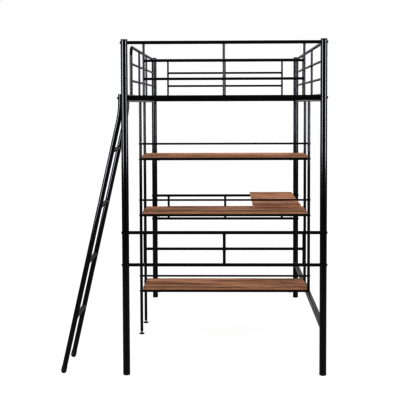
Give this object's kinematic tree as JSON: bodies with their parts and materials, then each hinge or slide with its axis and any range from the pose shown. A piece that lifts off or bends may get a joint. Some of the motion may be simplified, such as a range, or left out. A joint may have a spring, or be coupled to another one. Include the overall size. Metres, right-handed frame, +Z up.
{
  "type": "loft bed with desk",
  "caption": "Metal loft bed with guard rails and a leaning side ladder, over open wooden shelves and an L-shaped desk.",
  "frame": {"origin": "on the floor, under the middle of the whole outline with the ladder", "axes": "+Z up, +Y along the bed from the foot end with the ladder to the head end, +X to the wall side, away from the ladder"},
  "size_m": [1.3784, 1.986, 1.73],
  "materials": {
    "black_steel": "semi-gloss black powder coat",
    "black_plastic": "moulded black plastic with a fine texture",
    "wood_board": "brown rustic woodgrain laminate with an edge band",
    "black_bolt": "black oxide socket bolt"
  },
  "bodies": {
    "bed": {"desk_board": "wood_board", "desk_rail_back": "black_steel", "desk_rail_front": "black_steel", "desk_return_board": "wood_board", "desk_stop_rail": "black_steel", "foot_cap_foot_left": "black_plastic", "foot_cap_foot_right": "black_plastic", "foot_cap_head_left": "black_plastic", "foot_cap_head_right": "black_plastic", "guard_left": "black_steel", "guard_right": "black_steel", "ladder_bolt_inner": "black_bolt", "ladder_bolt_outer": "black_bolt", "ladder_foot_inner": "black_plastic", "ladder_foot_outer": "black_plastic", "ladder_rail_inner": "black_steel", "ladder_rail_outer": "black_steel", "ladder_rung_1": "black_steel", "ladder_rung_2": "black_steel", "ladder_rung_3": "black_steel", "ladder_rung_4": "black_steel", "low_shelf_board": "wood_board", "low_shelf_rail_back": "black_steel", "low_shelf_rail_front": "black_steel", "low_shelf_stop_rail": "black_steel", "lower_panel_foot": "black_steel", "lower_panel_head": "black_steel", "lower_side_rail": "black_steel", "platform_rail_left": "black_steel", "platform_rail_right": "black_steel", "post_cap_foot_left": "black_plastic", "post_cap_foot_right": "black_plastic", "post_cap_head_left": "black_plastic", "post_cap_head_right": "black_plastic", "post_foot_left": "black_steel", "post_foot_right": "black_steel", "post_head_left": "black_steel", "post_head_right": "black_steel", "shelf_leg_back_left": "black_steel", "shelf_leg_back_right": "black_steel", "shelf_leg_front_left": "black_steel", "shelf_leg_front_right": "black_steel", "slat_1": "black_steel", "slat_2": "black_steel", "slat_3": "black_steel", "slat_4": "black_steel", "slat_5": "black_steel", "slat_6": "black_steel", "slat_7": "black_steel", "slat_8": "black_steel", "slat_9": "black_steel", "slat_beam": "black_steel", "top_shelf_board": "wood_board", "top_shelf_rail_back": "black_steel", "top_shelf_rail_front": "black_steel", "top_shelf_stop_rail": "black_steel", "upper_panel_foot": "black_steel", "upper_panel_head": "black_steel"},
    "levelling_foot_back": {"levelling_foot_back": "black_plastic"},
    "levelling_foot_front": {"levelling_foot_front": "black_plastic"}
  },
  "joints": [
    {"name": "back_height", "type": "slide", "parent": "bed", "child": "levelling_foot_back", "axis": [0, 0, 1], "range_m": [-0.012, 0.008]},
    {"name": "front_height", "type": "slide", "parent": "bed", "child": "levelling_foot_front", "axis": [0, 0, 1], "range_m": [-0.012, 0.008]}
  ]
}
